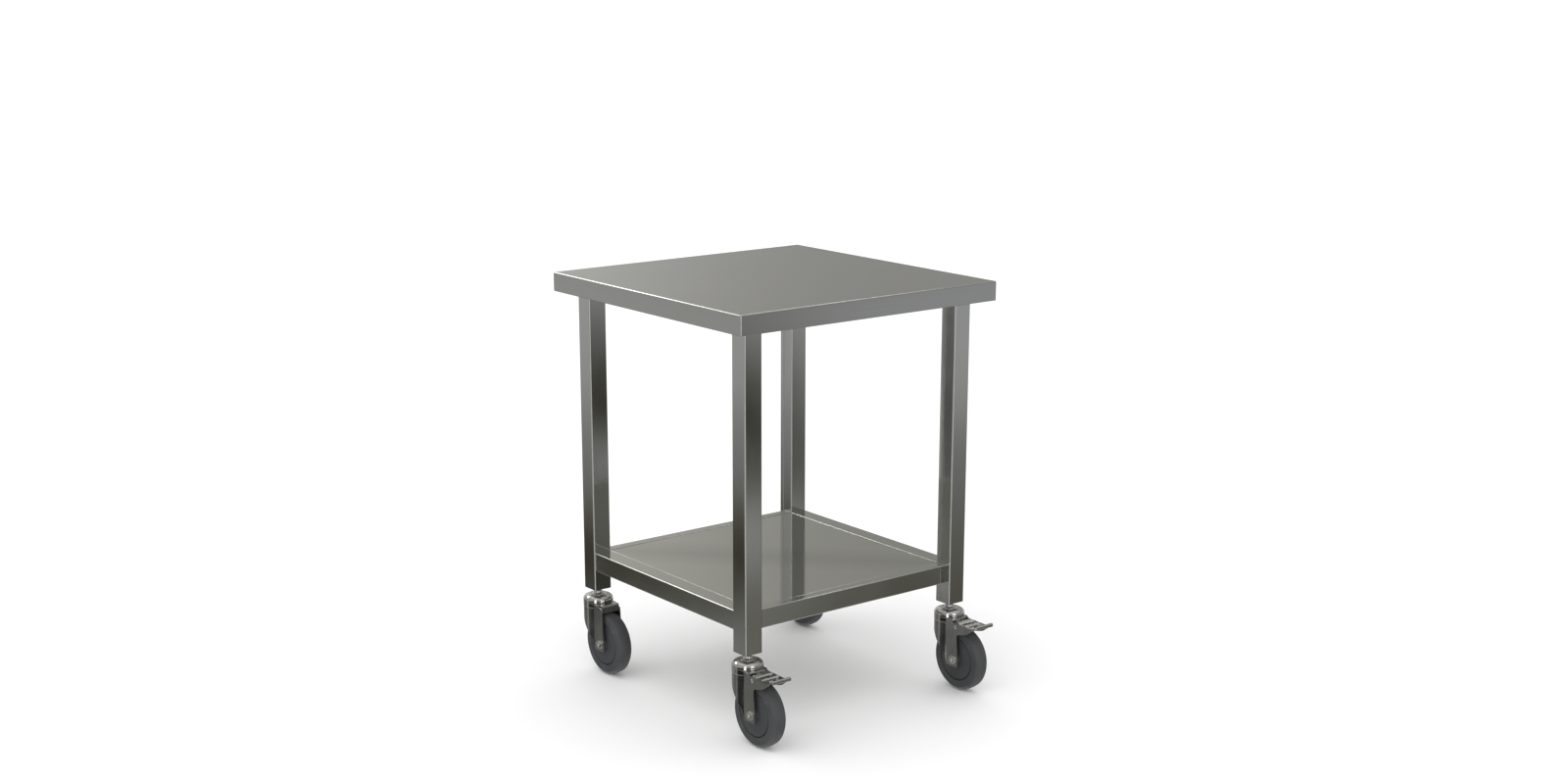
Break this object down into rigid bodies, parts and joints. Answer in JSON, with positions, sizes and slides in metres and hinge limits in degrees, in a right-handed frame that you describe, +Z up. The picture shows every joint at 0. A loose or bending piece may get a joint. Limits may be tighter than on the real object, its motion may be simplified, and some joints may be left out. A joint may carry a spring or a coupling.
{
  "type": "stainless steel work table on castors",
  "caption": "Square stainless steel kitchen work table with a flat closed worktop, square legs, a framed undershelf and swivel castors, the front ones braked.",
  "frame": {"origin": "centre of the bounding box, on the floor under the castors", "axes": "+Z up, -Y towards the braked castors' pedals (front), +X to the right seen from the front"},
  "size_m": [0.6, 0.649, 0.8],
  "materials": {
    "worktop_steel": "fine straight brushed stainless, satin sheen",
    "core_board": "raw board, hidden inside the worktop",
    "underside_steel": "satin stainless sheet",
    "leg_steel": "lengthwise brushed stainless",
    "socket_zinc": "dull zinc-plated steel",
    "rail_steel": "lengthwise brushed stainless",
    "shelf_steel": "satin stainless, soft reflections",
    "stem_zinc": "bright zinc plating",
    "dome_chrome": "bright plated, glossy",
    "fork_plate": "grey zinc plating on pressed steel, satin",
    "bush_steel": "plain steel sleeve",
    "bolt_zinc": "bright zinc plating",
    "tyre_rubber": "dark grey solid rubber, matt",
    "hub_nylon": "dark moulded plastic",
    "pedal_zinc": "bright zinc plating"
  },
  "bodies": {
    "table": {"worktop_skin": "worktop_steel", "worktop_core_board": "core_board", "worktop_underside_panel": "underside_steel", "leg_front_left": "leg_steel", "leg_front_right": "leg_steel", "leg_back_left": "leg_steel", "leg_back_right": "leg_steel", "leg_socket_front_left": "socket_zinc", "leg_socket_front_right": "socket_zinc", "leg_socket_back_left": "socket_zinc", "leg_socket_back_right": "socket_zinc", "shelf_rail_front": "rail_steel", "shelf_rail_back": "rail_steel", "shelf_rail_left": "rail_steel", "shelf_rail_right": "rail_steel", "shelf_panel": "shelf_steel", "castor_front_left_stem": "stem_zinc", "castor_front_left_dome": "dome_chrome", "castor_front_right_stem": "stem_zinc", "castor_front_right_dome": "dome_chrome", "castor_back_left_stem": "stem_zinc", "castor_back_left_dome": "dome_chrome", "castor_back_right_stem": "stem_zinc", "castor_back_right_dome": "dome_chrome"},
    "swivel_front_left": {"castor_front_left_fork": "fork_plate", "castor_front_left_bush": "bush_steel", "castor_front_left_bolt": "bolt_zinc", "castor_front_left_nut": "bolt_zinc", "castor_front_left_brake_pin": "bolt_zinc"},
    "wheel_front_left": {"castor_front_left_tyre": "tyre_rubber", "castor_front_left_hub": "hub_nylon"},
    "brake_front_left": {"castor_front_left_brake_pedal": "pedal_zinc"},
    "swivel_front_right": {"castor_front_right_fork": "fork_plate", "castor_front_right_bush": "bush_steel", "castor_front_right_bolt": "bolt_zinc", "castor_front_right_nut": "bolt_zinc", "castor_front_right_brake_pin": "bolt_zinc"},
    "wheel_front_right": {"castor_front_right_tyre": "tyre_rubber", "castor_front_right_hub": "hub_nylon"},
    "brake_front_right": {"castor_front_right_brake_pedal": "pedal_zinc"},
    "swivel_back_left": {"castor_back_left_fork": "fork_plate", "castor_back_left_bush": "bush_steel", "castor_back_left_bolt": "bolt_zinc", "castor_back_left_nut": "bolt_zinc"},
    "wheel_back_left": {"castor_back_left_tyre": "tyre_rubber", "castor_back_left_hub": "hub_nylon"},
    "swivel_back_right": {"castor_back_right_fork": "fork_plate", "castor_back_right_bush": "bush_steel", "castor_back_right_bolt": "bolt_zinc", "castor_back_right_nut": "bolt_zinc"},
    "wheel_back_right": {"castor_back_right_tyre": "tyre_rubber", "castor_back_right_hub": "hub_nylon"}
  },
  "joints": [
    {"name": "castor_front_left_swivel", "type": "hinge", "parent": "table", "child": "swivel_front_left", "pos_m": [-0.247, -0.2225, 0.1422], "axis": [0, 0, 1], "continuous": true},
    {"name": "castor_front_left_wheel_spin", "type": "hinge", "parent": "swivel_front_left", "child": "wheel_front_left", "pos_m": [-0.247, -0.2595, 0.0625], "axis": [1, 0, 0], "continuous": true},
    {"name": "castor_front_left_brake", "type": "hinge", "parent": "swivel_front_left", "child": "brake_front_left", "pos_m": [-0.247, -0.2645, 0.1304], "axis": [1, 0, 0], "range_deg": [0, 11]},
    {"name": "castor_front_right_swivel", "type": "hinge", "parent": "table", "child": "swivel_front_right", "pos_m": [0.247, -0.2225, 0.1422], "axis": [0, 0, 1], "continuous": true},
    {"name": "castor_front_right_wheel_spin", "type": "hinge", "parent": "swivel_front_right", "child": "wheel_front_right", "pos_m": [0.247, -0.2595, 0.0625], "axis": [1, 0, 0], "continuous": true},
    {"name": "castor_front_right_brake", "type": "hinge", "parent": "swivel_front_right", "child": "brake_front_right", "pos_m": [0.247, -0.2645, 0.1304], "axis": [1, 0, 0], "range_deg": [0, 11]},
    {"name": "castor_back_left_swivel", "type": "hinge", "parent": "table", "child": "swivel_back_left", "pos_m": [-0.247, 0.2715, 0.1422], "axis": [0, 0, 1], "continuous": true},
    {"name": "castor_back_left_wheel_spin", "type": "hinge", "parent": "swivel_back_left", "child": "wheel_back_left", "pos_m": [-0.247, 0.2345, 0.0625], "axis": [1, 0, 0], "continuous": true},
    {"name": "castor_back_right_swivel", "type": "hinge", "parent": "table", "child": "swivel_back_right", "pos_m": [0.247, 0.2715, 0.1422], "axis": [0, 0, 1], "continuous": true},
    {"name": "castor_back_right_wheel_spin", "type": "hinge", "parent": "swivel_back_right", "child": "wheel_back_right", "pos_m": [0.247, 0.2345, 0.0625], "axis": [1, 0, 0], "continuous": true}
  ]
}
